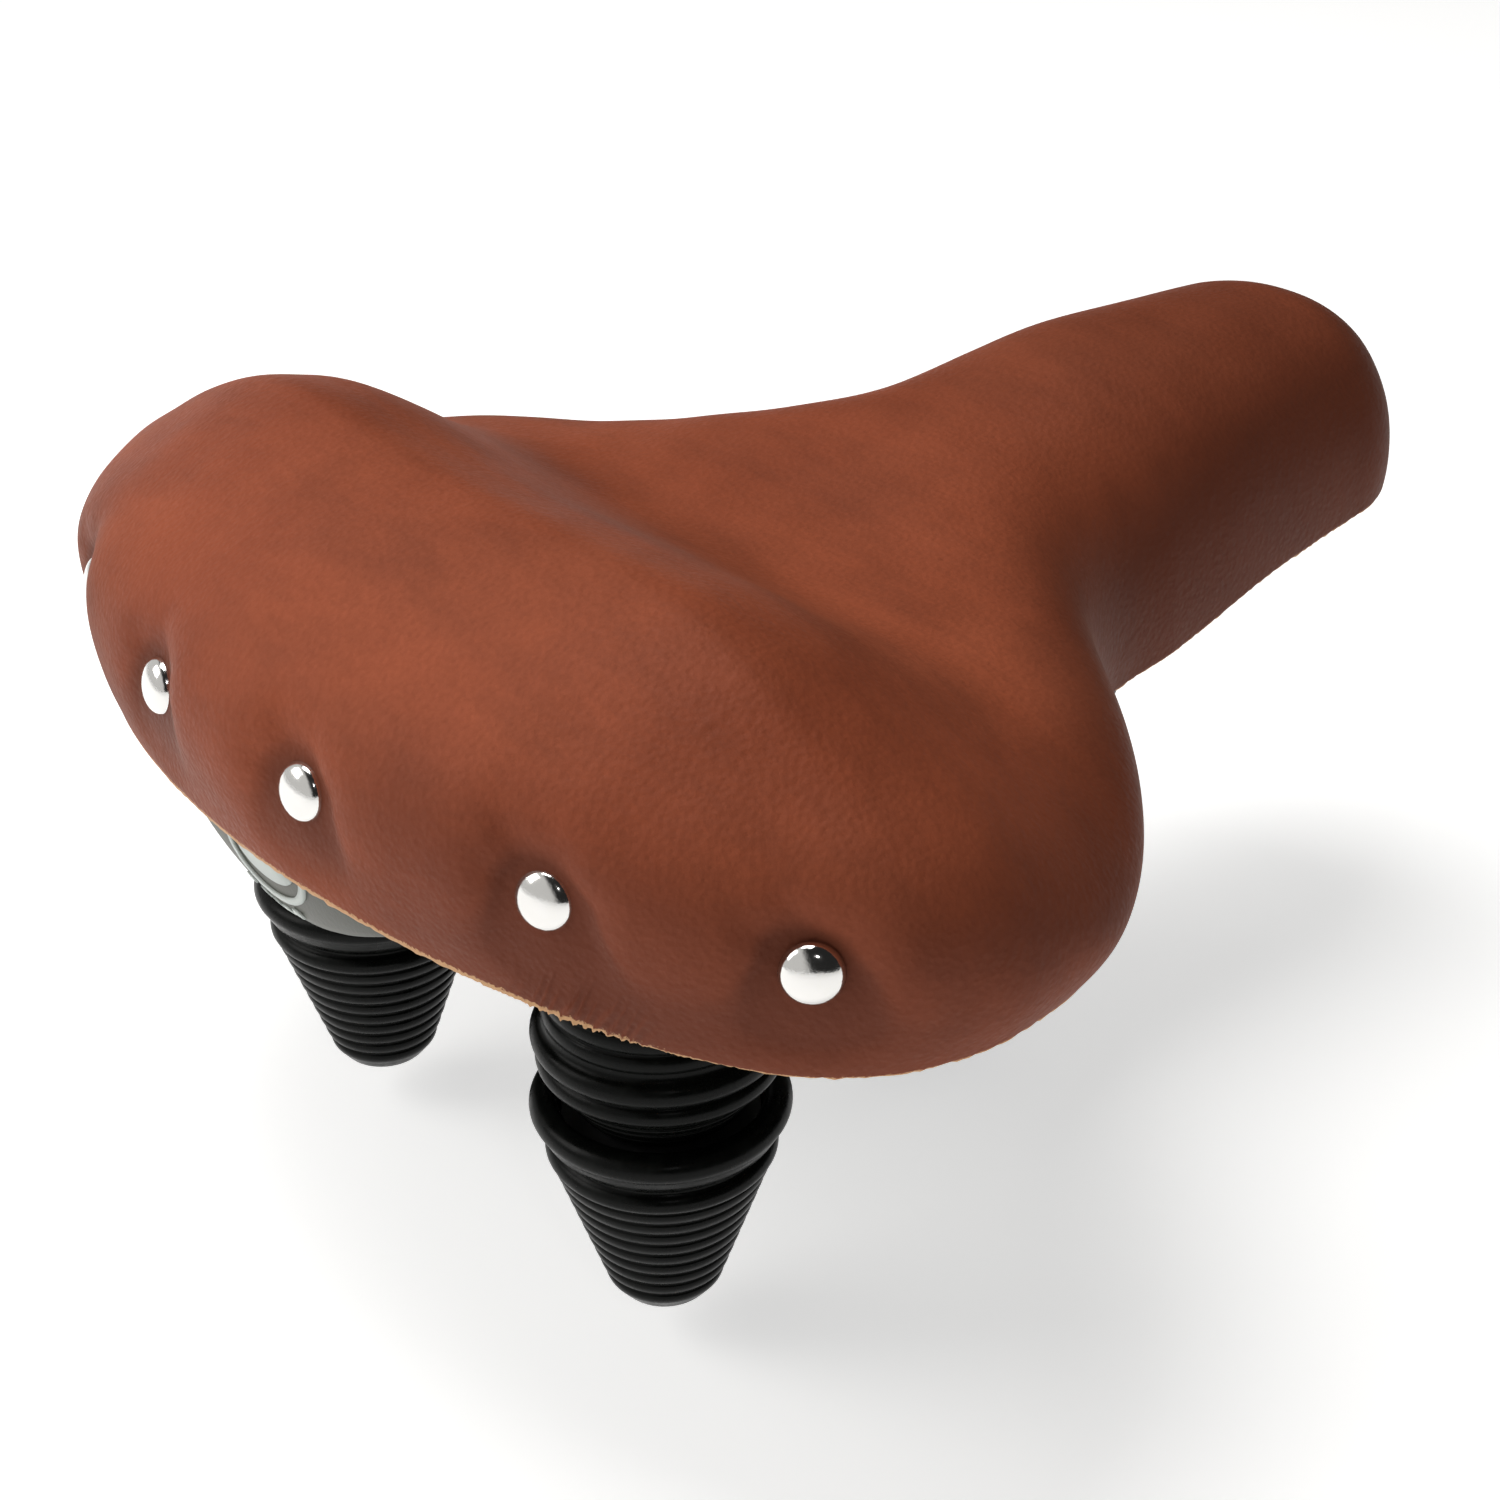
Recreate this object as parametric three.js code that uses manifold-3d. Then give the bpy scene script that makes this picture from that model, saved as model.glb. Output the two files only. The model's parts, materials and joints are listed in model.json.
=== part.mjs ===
// Wide city bicycle saddle: a leathercloth cover over foam on a moulded shell, carried at the nose by a
// pivot and at the rear by two sprung, booted guide bolts, on two wire rails held by a seat-post clamp.
// Millimetres. +X points to the nose, +Y to the rider's left, +Z up. The origin is the mouth of the
// clamp's socket, on the seat post's axis.
import * as THREE from "three";
import { mergeVertices } from "three/addons/utils/BufferGeometryUtils.js";
import Module from "manifold-3d";

const wasm = await Module();
wasm.setup();

// ---- Driving dimensions. Saddle coordinates: X from the rear edge, Z from the middle of the rim. ----
const LENGTH = 265;
const HALF_WIDTH = 120;
const WIDEST_X = 68; // where the wings are widest
const NECK_X = 179; // where the wings have run into the nose
const NOSE_HALF = 39;
const NOSE_TAPER = 7;
const NOSE_ROUND = 27;
const REAR_POWER = 1.9;
const NOSE_POWER = 2.1;
const CREST_REAR_X = 48.5; // the crest line runs between these two points
const CREST_NOSE_X = 239;
const CREST = [[20, 53.8], [48.5, 53.8], [62, 49.5], [100, 31.7], [150, 38], [200, 43.7], [240, 42.3]];
const RIM = [[0, 6.5], [40, -0.8], [80, 2.2], [120, 8.9], [165, -5.4], [215, 3.4], [265, 9.2]];
const WING = { x: 60, y: 62, lengthX: 42, lengthY: 30, height: 5.7 }; // the puffed crown of each wing
const REAR_SECTION = { side: 2.26, top: 2.49, tuck: 0.08 };
const NOSE_SECTION = { side: 2.39, top: 2.26, tuck: 0.05 };

const COVER_THICKNESS = 2.4;
const CLEAR = 0.3; // gap between touching pieces
const SHELL_INSET = 4.7;
const SHELL_THICKNESS = 3;
const SHELL_RISE = 0.5; // share of the height from rim to crest
const SHELL_EDGE = 1.5; // how far the shell shows below the cover
const APRON_DROP = 16;
const APRON_HALF_WIDTH = 46;

const RIVET_ANGLES = [12.5, 38.2, 63.1]; // places round the rear, from the centre line
const RIVET_HEIGHT = 18;
const RIVET_HEAD_R = 4.7;
const RIVET_HEAD_RISE = 2.6;
const RIVET_SHANK_R = 1.5;
const RIVET_SHANK = 9;
const RIVET_RECESS = 1.4;
const RIVET_SIDES = 10;

const SPRING_X = 53.3;
const SPRING_Y = 44.3;
const BOSS_BOTTOM = -8;
const BOSS_R = 15;
const WASHER = 1.6;
const EYE_TOP = -42.8;
const EYE_THICKNESS = 3;
const EYE_R = 16.5;
const EYE_HOLE_R = 8;
const BOOT_BOTTOM = -80.4;
const BOLT_R = 3.9;

const RAIL_R = 3.5;
const RAIL_Y = 22;
const RAIL_Z = -50;
const PIVOT_X = 210;
const PIVOT_Z = -6;
const PIN_R = 3;
const EAR_Y = 14;
const EAR_THICKNESS = 2;
const BRACKET_TOP = 17.4;

const CLAMP_X = 140;
const SOCKET_BOTTOM = -89;
const SOCKET_R = 11.1; // takes a 22.2 mm seat post
const SOCKET_DEPTH = 23;
const COLLAR_R = 15.5;
const CROSS_Z = RAIL_Z - 11;
const CROSS_R = 4;
const CHEEK_R = 16;
const HEAD_Y = 13;

const ROUND = 24; // sides of a round steel piece
const BOOT_SIDES = 16;
const RAIL_SIDES = 12;

// ---- Curves ----
const clamp01 = (t) => Math.min(1, Math.max(0, t));
const radians = THREE.MathUtils.degToRad;

function ease(t) {
  const u = clamp01(t);
  return u * u * u * (u * (6 * u - 15) + 10);
}

// A smooth curve through [x, value] knots that never overshoots between them.
function curveThrough(knots) {
  const steps = knots.slice(1).map(([x], i) => x - knots[i][0]);
  const rises = knots.slice(1).map(([, v], i) => (v - knots[i][1]) / steps[i]);
  const slopes = knots.map((_, i) => {
    if (i === 0) return rises[0];
    if (i === knots.length - 1) return rises[i - 1];
    if (rises[i - 1] * rises[i] <= 0) return 0;
    const before = 2 * steps[i] + steps[i - 1];
    const after = steps[i] + 2 * steps[i - 1];
    return (before + after) / (before / rises[i - 1] + after / rises[i]);
  });
  return (x) => {
    const at = Math.min(Math.max(x, knots[0][0]), knots[knots.length - 1][0]);
    let i = 0;
    while (i < steps.length - 1 && at > knots[i + 1][0]) i += 1;
    const t = (at - knots[i][0]) / steps[i];
    const start = (1 + 2 * t) * (1 - t) ** 2 * knots[i][1];
    const end = t * t * (3 - 2 * t) * knots[i + 1][1];
    const bend = t * (1 - t) ** 2 * slopes[i] - t * t * (1 - t) * slopes[i + 1];
    return start + end + steps[i] * bend;
  };
}

const crestAt = curveThrough(CREST);
const rimAt = curveThrough(RIM);

// Half width of the saddle's outline at x.
function halfWidth(x) {
  const rear = x < WIDEST_X ? (1 - ((WIDEST_X - x) / WIDEST_X) ** REAR_POWER) ** (1 / REAR_POWER) : 1;
  const wing = HALF_WIDTH + (NOSE_HALF - HALF_WIDTH) * ease((x - WIDEST_X) / (NECK_X - WIDEST_X));
  const taper = NOSE_TAPER * clamp01((x - NECK_X) / (LENGTH - NECK_X));
  const tip = clamp01((x - LENGTH + NOSE_ROUND) / NOSE_ROUND);
  return (wing - taper) * rear * (1 - tip ** NOSE_POWER) ** (1 / NOSE_POWER);
}

// The outline on the left side from the rear centre to the nose tip, as points {x, y, nx, ny} with the
// direction that points out of the saddle.
const REAR_STEPS = 8;
const WAIST_STEPS = 8;
const NOSE_STEPS = 4;

function halfOutline() {
  const xs = [];
  for (let i = 0; i <= REAR_STEPS; i += 1) {
    const turn = (Math.PI / 2) * (i / REAR_STEPS);
    xs.push(WIDEST_X * (1 - Math.cos(turn)));
  }
  const waist = LENGTH - NOSE_ROUND - WIDEST_X;
  for (let i = 1; i <= WAIST_STEPS; i += 1) xs.push(WIDEST_X + (waist * i) / WAIST_STEPS);
  for (let i = 1; i <= NOSE_STEPS; i += 1) {
    xs.push(LENGTH - NOSE_ROUND + NOSE_ROUND * Math.sin((Math.PI / 2) * (i / NOSE_STEPS)));
  }
  return xs.map((x) => outlinePoint(x));
}

function outlinePoint(x) {
  const y = x <= 0 || x >= LENGTH ? 0 : halfWidth(x);
  if (y === 0) return { x, y, nx: x <= 0 ? -1 : 1, ny: 0 };
  const step = 0.02;
  const low = Math.max(x - step, 0.001);
  const high = Math.min(x + step, LENGTH - 0.001);
  const slope = new THREE.Vector2(high - low, halfWidth(high) - halfWidth(low)).normalize();
  return { x, y, nx: -slope.y, ny: slope.x };
}

function blendSection(x) {
  const t = ease((x - 90) / 80);
  const mix = (key) => REAR_SECTION[key] + (NOSE_SECTION[key] - REAR_SECTION[key]) * t;
  return { side: mix("side"), top: mix("top"), tuck: mix("tuck") };
}

// A point of the padded surface: at outline point p, turned down from the crest (0) to the rim (1), and
// moved in by inset.
function paddedPoint(p, turn, inset = 0) {
  const angle = (Math.PI / 2) * turn;
  const section = blendSection(p.x);
  const crestX = Math.min(Math.max(p.x, CREST_REAR_X), CREST_NOSE_X);
  const out = Math.sin(angle) ** (2 / section.side);
  const up = Math.max(Math.cos(angle), 0) ** (2 / section.top);
  const reach = out * (1 - section.tuck * (1 - up) ** 3);
  const x = crestX + (p.x - p.nx * inset - crestX) * reach;
  const y = (p.y - p.ny * inset) * reach;
  const rim = rimAt(p.x);
  const puff = Math.exp(-(((x - WING.x) / WING.lengthX) ** 2) - ((Math.abs(y) - WING.y) / WING.lengthY) ** 2);
  const z = rim + (crestAt(crestX) - inset - rim) * up + WING.height * puff * Math.sqrt(up);
  return new THREE.Vector3(x, y, z);
}

// A point of the shell: a squarer dome whose wall stands just inside the cover's rim.
function shellPoint(p, turn, inset = 0) {
  const angle = (Math.PI / 2) * turn;
  const { tuck } = blendSection(p.x);
  const crestX = Math.min(Math.max(p.x, CREST_REAR_X), CREST_NOSE_X);
  const wallX = crestX + (p.x - crestX) * (1 - tuck) - p.nx * (SHELL_INSET + inset);
  const wallY = p.y * (1 - tuck) - p.ny * (SHELL_INSET + inset);
  const out = Math.sin(angle) ** 0.25;
  const up = Math.max(Math.cos(angle), 0) ** 0.67;
  const rim = rimAt(p.x);
  const top = rimAt(crestX) + SHELL_RISE * (crestAt(crestX) - rimAt(crestX)) - inset;
  return new THREE.Vector3(crestX + (wallX - crestX) * out, wallY * out, rim + (top - rim) * up);
}

// The shell's lower edge: a little below the rim, and far below it in the apron at the rear, where it
// also curls under.
function apronPoint(p, share, inset) {
  const wall = shellPoint(p, 1, inset);
  const rear = p.x < WIDEST_X ? clamp01(1 - (p.y / APRON_HALF_WIDTH) ** 2) ** 1.5 : 0;
  const drop = SHELL_EDGE + (APRON_DROP - SHELL_EDGE) * rear;
  const curl = drop * 0.25 * rear * (1 - Math.cos((Math.PI / 2) * share));
  wall.x -= p.nx * curl;
  wall.y -= p.ny * curl;
  wall.z -= drop * Math.sin((Math.PI / 2) * share);
  return wall;
}

// ---- Solids ----
const LEFT = halfOutline();
const AROUND = [...LEFT, ...LEFT.slice(1, -1).reverse().map((p) => ({ ...p, mirrored: true }))];

function loop(pointAt) {
  return AROUND.map((p) => {
    const point = pointAt(p);
    if (p.mirrored) point.y = -point.y;
    if (p.y === 0) point.y = 0;
    return point;
  });
}

// A closed body between two surfaces, each given as loops of points from the crest down. The inner
// surface is split along the same diagonals as the outer one, so neighbours keep their gap.
function bodyBetween(outside, inside) {
  const loops = [...outside, ...inside.slice().reverse()];
  const count = AROUND.length;
  const positions = loops.flat().flatMap((p) => [p.x, p.y, p.z]);
  const index = [];
  for (let row = 0; row < loops.length - 1; row += 1) {
    for (let i = 0; i < count; i += 1) {
      const next = (i + 1) % count;
      const [a, b] = [row * count + i, row * count + next];
      const [c, d] = [a + count, b + count];
      if (row < outside.length) index.push(a, b, c, b, d, c);
      else index.push(a, b, d, a, d, c);
    }
  }
  const geometry = new THREE.BufferGeometry();
  geometry.setAttribute("position", new THREE.Float32BufferAttribute(positions, 3));
  geometry.setIndex(index);
  return geometry;
}

function solidOf(geometry) {
  const loose = geometry.index ? geometry.toNonIndexed() : geometry;
  const bare = new THREE.BufferGeometry();
  bare.setAttribute("position", loose.getAttribute("position"));
  const merged = mergeVertices(bare, 1e-3);
  const corners = merged.index.array;
  const kept = [];
  for (let i = 0; i < corners.length; i += 3) {
    const [a, b, c] = [corners[i], corners[i + 1], corners[i + 2]];
    if (a !== b && b !== c && c !== a) kept.push(a, b, c);
  }
  const mesh = new wasm.Mesh({
    numProp: 3,
    vertProperties: merged.getAttribute("position").array,
    triVerts: new Uint32Array(kept),
  });
  return new wasm.Manifold(mesh);
}

function geometryOf(solid) {
  const mesh = solid.getMesh();
  const geometry = new THREE.BufferGeometry();
  geometry.setAttribute("position", new THREE.BufferAttribute(new Float32Array(mesh.vertProperties), 3));
  geometry.setIndex(new THREE.BufferAttribute(new Uint32Array(mesh.triVerts), 1));
  geometry.computeVertexNormals();
  return geometry;
}

const cut = (body, ...tools) => tools.reduce((left, tool) => left.subtract(solidOf(tool)), body);

// A round body about Z from [radius, z] points, which start and end on the axis or close on themselves.
function turned(profile, sides = ROUND) {
  const points = profile.map(([r, z]) => new THREE.Vector2(r, z));
  return new THREE.LatheGeometry(points, sides).rotateX(Math.PI / 2);
}

function rod(radius, low, high, sides = ROUND) {
  return turned([[0, low], [radius, low], [radius, high], [0, high]], sides);
}

function ring(inner, outer, low, high, sides = ROUND) {
  return turned([[inner, low], [outer, low], [outer, high], [inner, high], [inner, low]], sides);
}

const alongY = (geometry) => geometry.rotateX(-Math.PI / 2);

function box(x, y, z) {
  return new THREE.BoxGeometry(x[1] - x[0], y[1] - y[0], z[1] - z[0])
    .translate((x[0] + x[1]) / 2, (y[0] + y[1]) / 2, (z[0] + z[1]) / 2);
}

// A round wire along a path of points.
function wire(points, radius, steps, sides = RAIL_SIDES) {
  const section = new THREE.Shape();
  for (let i = 0; i < sides; i += 1) {
    const angle = (2 * Math.PI * i) / sides;
    const [x, y] = [radius * Math.cos(angle), radius * Math.sin(angle)];
    if (i === 0) section.moveTo(x, y);
    else section.lineTo(x, y);
  }
  section.closePath();
  const path = new THREE.CatmullRomCurve3(points, false, "centripetal");
  return new THREE.ExtrudeGeometry(section, { steps, extrudePath: path, bevelEnabled: false });
}

// A hexagonal nut or bolt head about Z, with an optional hole.
function hexagon(acrossFlats, low, high, hole = 0) {
  const blank = rod(acrossFlats / Math.sqrt(3), low, high, 6);
  return hole ? geometryOf(cut(solidOf(blank), rod(hole, low - 1, high + 1, 16))) : blank;
}

// ---- Materials ----
const finish = (color, roughness, metalness = 0) =>
  new THREE.MeshStandardMaterial({ color, roughness, metalness });
const leather = finish(0x8c4630, 0.62);
const foam = finish(0xd8cba8, 0.9);
const shellPlastic = finish(0x4a4a44, 0.5);
const badgePlate = finish(0xc9cbc4, 0.4);
const chrome = finish(0xe2e2e0, 0.12, 1);
const rubber = finish(0x0f1110, 0.3);
const springSteel = finish(0x70726f, 0.35, 1);
const zincSteel = finish(0xa9aba8, 0.35, 1);
const blackSteel = finish(0x1c1c1d, 0.4, 0.6);

const saddle = new THREE.Group();
const assembly = new THREE.Group(); // saddle coordinates
assembly.position.set(-CLAMP_X, 0, -SOCKET_BOTTOM);
saddle.add(assembly);

function add(name, geometry, material, parent = assembly) {
  const mesh = new THREE.Mesh(geometry, material);
  mesh.name = name;
  parent.add(mesh);
  return mesh;
}

const SIDES = [["left", 1], ["right", -1]];

// ---- Rivets, and the holes they need ----
function rivetPlaces() {
  return SIDES.flatMap(([side, sign]) => RIVET_ANGLES.map((angle, i) => {
    const p = outlinePoint(WIDEST_X * (1 - Math.cos(radians(angle))));
    const crestX = Math.max(p.x, CREST_REAR_X);
    const share = RIVET_HEIGHT / (crestAt(crestX) - rimAt(p.x));
    const turn = Math.acos(share ** (REAR_SECTION.top / 2)) / (Math.PI / 2);
    const here = paddedPoint(p, turn);
    const around = paddedPoint(outlinePoint(p.x + 0.5), turn).sub(here);
    const down = paddedPoint(p, turn + 0.005).sub(here);
    const out = around.cross(down).normalize();
    if (out.x > 0) out.negate();
    return {
      name: `rivet_${side}_${i + 1}`,
      centre: here.multiply(new THREE.Vector3(1, sign, 1)),
      out: out.multiply(new THREE.Vector3(1, sign, 1)),
    };
  }));
}

function facing(geometry, place) {
  const turn = new THREE.Quaternion().setFromUnitVectors(new THREE.Vector3(0, 0, 1), place.out);
  return geometry.applyQuaternion(turn).translate(place.centre.x, place.centre.y, place.centre.z);
}

const RIVETS = rivetPlaces();

function rivetHole(place) {
  const recess = RIVET_HEAD_R + 0.8;
  const shank = RIVET_SHANK_R + CLEAR;
  const profile = [
    [0, -14], [shank, -14], [shank, -RIVET_RECESS],
    [recess, -RIVET_RECESS], [recess + 3, 4], [0, 4],
  ];
  return facing(turned(profile, RIVET_SIDES), place);
}

function rivet(place) {
  const seat = CLEAR - RIVET_RECESS;
  const profile = [[0, -RIVET_SHANK], [RIVET_SHANK_R, -RIVET_SHANK], [RIVET_SHANK_R, seat]];
  for (let i = 0; i <= 3; i += 1) {
    const angle = (Math.PI / 2) * (i / 4);
    profile.push([RIVET_HEAD_R * Math.cos(angle), seat + RIVET_HEAD_RISE * Math.sin(angle)]);
  }
  profile.push([0, seat + RIVET_HEAD_RISE]);
  return facing(turned(profile, RIVET_SIDES), place);
}

// ---- Soft parts and shell ----
const shares = (steps, last = 1) => Array.from({ length: steps + 1 }, (_, i) => (last * i) / steps);

function cover() {
  const turns = shares(7);
  const outside = turns.map((t) => loop((p) => paddedPoint(p, t)));
  const inside = turns.map((t) => loop((p) => paddedPoint(p, t, COVER_THICKNESS)));
  return cut(solidOf(bodyBetween(outside, inside)), ...RIVETS.map(rivetHole));
}

function padding() {
  const outside = shares(6, 6 / 7).map((t) => loop((p) => paddedPoint(p, t, COVER_THICKNESS + CLEAR)));
  const inside = shares(4, 4 / 5).map((t) => loop((p) => shellPoint(p, t, -CLEAR)));
  return cut(solidOf(bodyBetween(outside, inside)), ...RIVETS.map(rivetHole));
}

const onSpring = (geometry, sign) => geometry.translate(SPRING_X, sign * SPRING_Y, 0);

function shell() {
  const edge = [1 / 3, 2 / 3, 1];
  const dome = shares(5);
  const outside = [
    ...dome.map((t) => loop((p) => shellPoint(p, t))),
    ...edge.map((t) => loop((p) => apronPoint(p, t, 0))),
  ];
  const inside = [
    ...dome.map((t) => loop((p) => shellPoint(p, t, SHELL_THICKNESS))),
    ...edge.map((t) => loop((p) => apronPoint(p, t, SHELL_THICKNESS))),
  ];
  const plain = solidOf(bodyBetween(outside, inside));
  const bosses = SIDES.map(([, sign]) => onSpring(rod(BOSS_R, BOSS_BOTTOM, 22), sign));
  const joined = bosses.reduce((left, boss) => left.add(solidOf(boss)), plain);
  const boltHoles = SIDES.map(([, sign]) => onSpring(rod(BOLT_R + CLEAR, BOSS_BOTTOM - 1, 4), sign));
  const screwHoles = SCREW_XS.map((x) => rod(SCREW_R + CLEAR, 10, 40).translate(x, 0, 0));
  return cut(joined, ...boltHoles, ...screwHoles, ...RIVETS.map(rivetHole));
}

// ---- Nose bracket ----
const SCREW_XS = [202.5, 217.5];
const SCREW_R = 2;
const SCREW_TOP = 21.6;

function noseBracket() {
  const x = [196, 224];
  const outer = EAR_Y + EAR_THICKNESS;
  const plate = solidOf(box(x, [-outer, outer], [BRACKET_TOP - 2, BRACKET_TOP]));
  const ears = SIDES.map(([, sign]) => {
    const y = [Math.min(sign * EAR_Y, sign * outer), Math.max(sign * EAR_Y, sign * outer)];
    return box([203, 217], y, [PIVOT_Z - 6, BRACKET_TOP - 1]);
  });
  const bent = ears.reduce((left, ear) => left.add(solidOf(ear)), plate);
  const pinHole = alongY(rod(PIN_R + CLEAR, -outer - 1, outer + 1)).translate(PIVOT_X, 0, PIVOT_Z);
  const screwHole = () => rod(SCREW_R + CLEAR, BRACKET_TOP - 5, BRACKET_TOP + 5);
  const screwHoles = SCREW_XS.map((sx) => screwHole().translate(sx, 0, 0));
  return cut(bent, pinHole, ...screwHoles);
}

function noseScrew() {
  const head = BRACKET_TOP - 2 - CLEAR;
  const profile = [
    [0, head - 2.2], [4, head - 2.2], [4, head],
    [SCREW_R, head], [SCREW_R, SCREW_TOP], [0, SCREW_TOP],
  ];
  return turned(profile, 12);
}

function pivotPin() {
  const end = EAR_Y + EAR_THICKNESS;
  const profile = [
    [0, -end - 3], [5, -end - 3], [5, -end - CLEAR],
    [PIN_R, -end - CLEAR], [PIN_R, end + 4], [0, end + 4],
  ];
  return alongY(turned(profile, 16)).translate(PIVOT_X, 0, PIVOT_Z);
}

function pivotClip() {
  const low = EAR_Y + EAR_THICKNESS + CLEAR;
  return alongY(ring(PIN_R + CLEAR, 5.5, low, low + 1.6, 16)).translate(PIVOT_X, 0, PIVOT_Z);
}

function noseYoke() {
  const block = solidOf(box([203.5, 216.5], [-11.5, 11.5], [PIVOT_Z - 5.8, PIVOT_Z + 6.5]));
  return cut(block, alongY(rod(PIN_R + 1.6, -20, 20)).translate(PIVOT_X, 0, PIVOT_Z));
}

function pivotBush() {
  return alongY(ring(PIN_R + CLEAR, PIN_R + 1.3, -11.5, 11.5, 16)).translate(PIVOT_X, 0, PIVOT_Z);
}

// ---- Rear springs ----
// Boot outlines are [radius, z] down the outside. Each fold stands out by FOLD.
const FOLD = 0.8;

function folds(top, bottom, radiusTop, radiusBottom, count) {
  const points = [];
  for (let i = 0; i <= count * 2; i += 1) {
    const t = i / (count * 2);
    points.push([radiusTop + (radiusBottom - radiusTop) * t + (i % 2 ? 0 : -FOLD), top + (bottom - top) * t]);
  }
  return points;
}

function upperBoot() {
  const outside = [
    [16.6, -10], [18.4, -12], [18.4, -22], [20.4, -28], [20.4, -31], [18.6, -36], [12.4, -42.4],
  ];
  const inside = [[10.9, -42.4], [16.8, -35], [17, -12.5], [15.2, -10]];
  return turned([...outside, ...inside, outside[0]].reverse(), BOOT_SIDES);
}

function lowerBoot(sign) {
  const collar = [[18.4, -38.8], [21, -39.8], [21.8, -42.4], [21, -45.2], [18.6, -46.8]];
  const cone = folds(-47.8, -77.4, 19.4, 9.6, 5);
  const outside = [...collar, ...cone, [6.5, BOOT_BOTTOM], [0, BOOT_BOTTOM]];
  const inside = [[0, -79.2], [7.6, -79.2], [7.6, -76], [16.9, -47], [17.2, -38.8]];
  const profile = [...outside.slice().reverse(), ...inside.slice().reverse()];
  const cup = solidOf(turned(profile, BOOT_SIDES));
  const slit = box([10, 30], [-6.5, 6.5], [EYE_TOP - EYE_THICKNESS - CLEAR, -30]).rotateZ(-sign * ARM_ANGLE);
  return geometryOf(cut(cup, slit));
}

// A coil about Z from high to low, wound between two radii.
function coil(high, low, radiusHigh, radiusLow, turns, wireR) {
  const perTurn = 10;
  const points = [];
  for (let i = 0; i <= turns * perTurn; i += 1) {
    const t = i / (turns * perTurn);
    const angle = 2 * Math.PI * turns * t;
    const radius = radiusHigh + (radiusLow - radiusHigh) * t;
    const [x, y] = [radius * Math.cos(angle), radius * Math.sin(angle)];
    points.push(new THREE.Vector3(x, y, high + (low - high) * t));
  }
  return wire(points, wireR, turns * perTurn, 5);
}

function guideBolt() {
  return rod(BOLT_R, -78.3, 3, 16);
}

// ---- Rear bridge and rails ----
const ARM_ANGLE = radians(38); // from +X towards the middle
const CROSS_X = 84;

function eyePlate(sign) {
  const z = [EYE_TOP - EYE_THICKNESS, EYE_TOP];
  const disc = solidOf(rod(EYE_R, z[0], z[1]));
  const arm = box([10, 40], [-5.5, 5.5], z).rotateZ(-sign * ARM_ANGLE);
  const joined = disc.add(solidOf(arm));
  return onSpring(geometryOf(cut(joined, rod(EYE_HOLE_R, z[0] - 1, z[1] + 1))), sign);
}

function rearCrossbar() {
  const z = [EYE_TOP - EYE_THICKNESS, EYE_TOP];
  return box([CROSS_X - 9, CROSS_X + 4], [-15, 15], z);
}

const RAIL_STEPS = 40;

// Straight for as far as the clamp slides: the points before and after that run lie on its line too.
function rail(sign) {
  const route = [
    [76, 27.5, RAIL_Z], [90, 23.8, RAIL_Z], [102, RAIL_Y, RAIL_Z], [110, RAIL_Y, RAIL_Z],
    [140, RAIL_Y, RAIL_Z], [167, RAIL_Y, RAIL_Z], [169.5, RAIL_Y, RAIL_Z], [172.5, 19.6, RAIL_Z],
    [177, 15, RAIL_Z + 1.5], [183, 10.5, RAIL_Z + 7], [188, 8.4, RAIL_Z + 16], [194, 7.6, RAIL_Z + 24],
    [202, 7.3, -20], [206.3, 7.3, -17], [207, 7.2, -12.9],
  ];
  return wire(route.map(([x, y, z]) => new THREE.Vector3(x, sign * y, z)), RAIL_R, RAIL_STEPS);
}

// ---- Seat-post clamp ----
function collar() {
  const mouth = SOCKET_BOTTOM;
  const tube = solidOf(rod(COLLAR_R, mouth, CROSS_Z).translate(CLAMP_X, 0, 0));
  const head = solidOf(alongY(rod(10.5, -HEAD_Y, HEAD_Y)).translate(CLAMP_X, 0, CROSS_Z));
  const socket = rod(SOCKET_R, mouth - 1, mouth + SOCKET_DEPTH, 32).translate(CLAMP_X, 0, 0);
  const crossHole = alongY(rod(CROSS_R + CLEAR, -40, 40)).translate(CLAMP_X, 0, CROSS_Z);
  const split = box([CLAMP_X, CLAMP_X + 20], [-1.25, 1.25], [mouth - 1, CROSS_Z + 20]);
  const trim = [
    box([CLAMP_X - 20, CLAMP_X + 20], [HEAD_Y, HEAD_Y + 10], [CROSS_Z - 17, CROSS_Z + 20]),
    box([CLAMP_X - 20, CLAMP_X + 20], [-HEAD_Y - 10, -HEAD_Y], [CROSS_Z - 17, CROSS_Z + 20]),
  ];
  return cut(tube.add(head), socket, crossHole, split, ...trim);
}

// A round cheek that grips the rail in a groove; its faces stand at low and high along Y.
function cheek(low, high, sign) {
  const disc = solidOf(alongY(rod(CHEEK_R, low, high, 24)).translate(CLAMP_X, 0, CROSS_Z));
  const crossHole = alongY(rod(CROSS_R + CLEAR, -60, 60)).translate(CLAMP_X, 0, CROSS_Z);
  const groove = rod(RAIL_R + CLEAR, -30, 30, 16).rotateY(Math.PI / 2).translate(CLAMP_X, RAIL_Y, RAIL_Z);
  const half = geometryOf(cut(disc, crossHole, groove));
  return sign > 0 ? half : mirrored(half);
}

function mirrored(geometry) {
  const turnedRound = geometry.clone().scale(1, -1, 1);
  const corners = turnedRound.index.array;
  for (let i = 0; i < corners.length; i += 3) {
    [corners[i + 1], corners[i + 2]] = [corners[i + 2], corners[i + 1]];
  }
  turnedRound.computeVertexNormals();
  return turnedRound;
}

const onCross = (geometry) => alongY(geometry).translate(CLAMP_X, 0, CROSS_Z);

function clampBolt() {
  const shank = rod(CROSS_R, -39, 32, 16);
  const head = hexagon(13, 31.8, 37);
  return onCross(geometryOf(solidOf(shank).add(solidOf(head))));
}

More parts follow.
